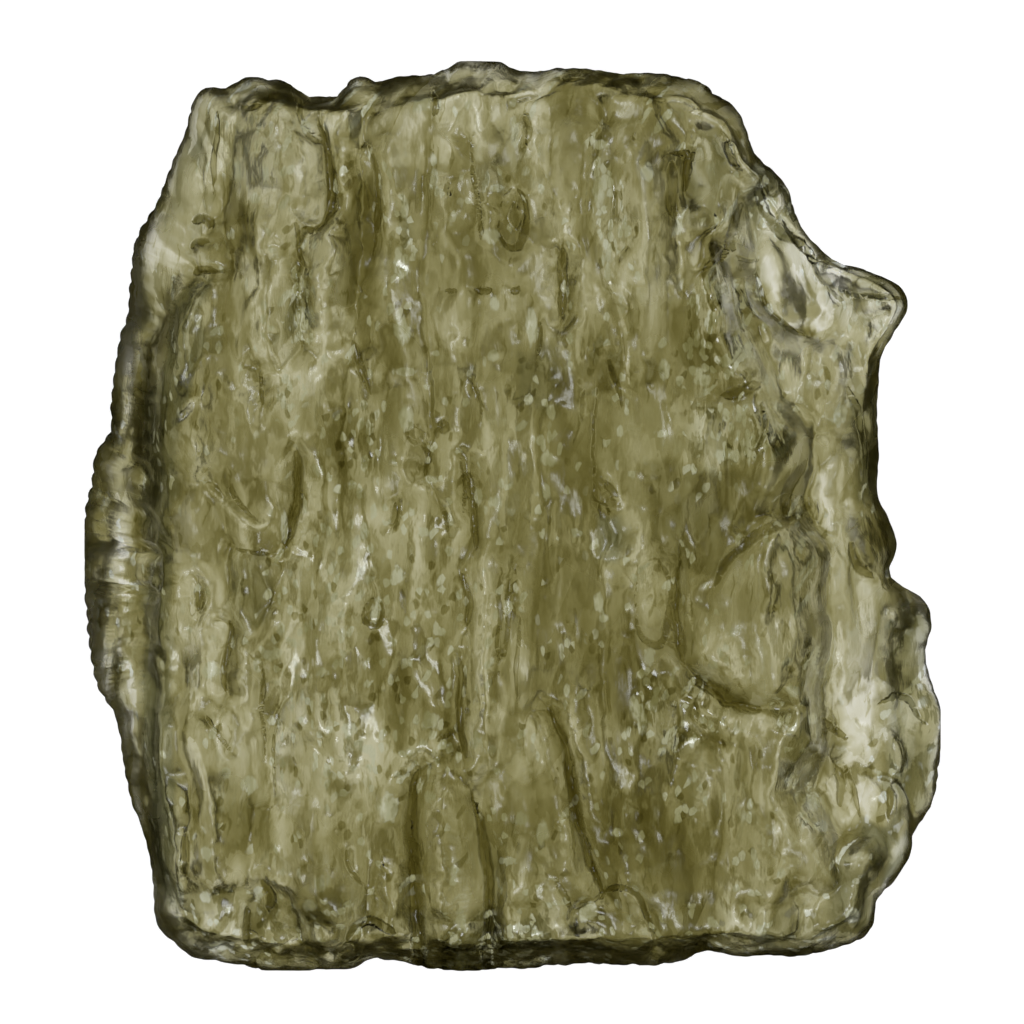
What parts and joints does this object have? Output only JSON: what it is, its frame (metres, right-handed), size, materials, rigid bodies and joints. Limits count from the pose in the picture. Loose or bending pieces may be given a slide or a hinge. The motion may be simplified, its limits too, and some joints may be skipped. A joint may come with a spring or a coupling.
{
  "type": "moldavite",
  "caption": "Flat tablet of etched olive-green natural glass: ribbed and pitted face, cleft left side, low terrace and thin spur on the right, and a small flat spot on the back to rest on.",
  "frame": {"origin": "under the centre of the stone's box, on the surface that the stone rests on", "axes": "+X to the right and +Y along the etched ribs, towards the narrower end, seen looking down on the etched face; +Z out of the etched face"},
  "size_m": [0.0216, 0.0228, 0.0082],
  "materials": {
    "moldavite_glass": "etched glass, translucent olive green, satin to glossy"
  },
  "bodies": {
    "root": {"moldavite": "moldavite_glass"}
  },
  "joints": []
}
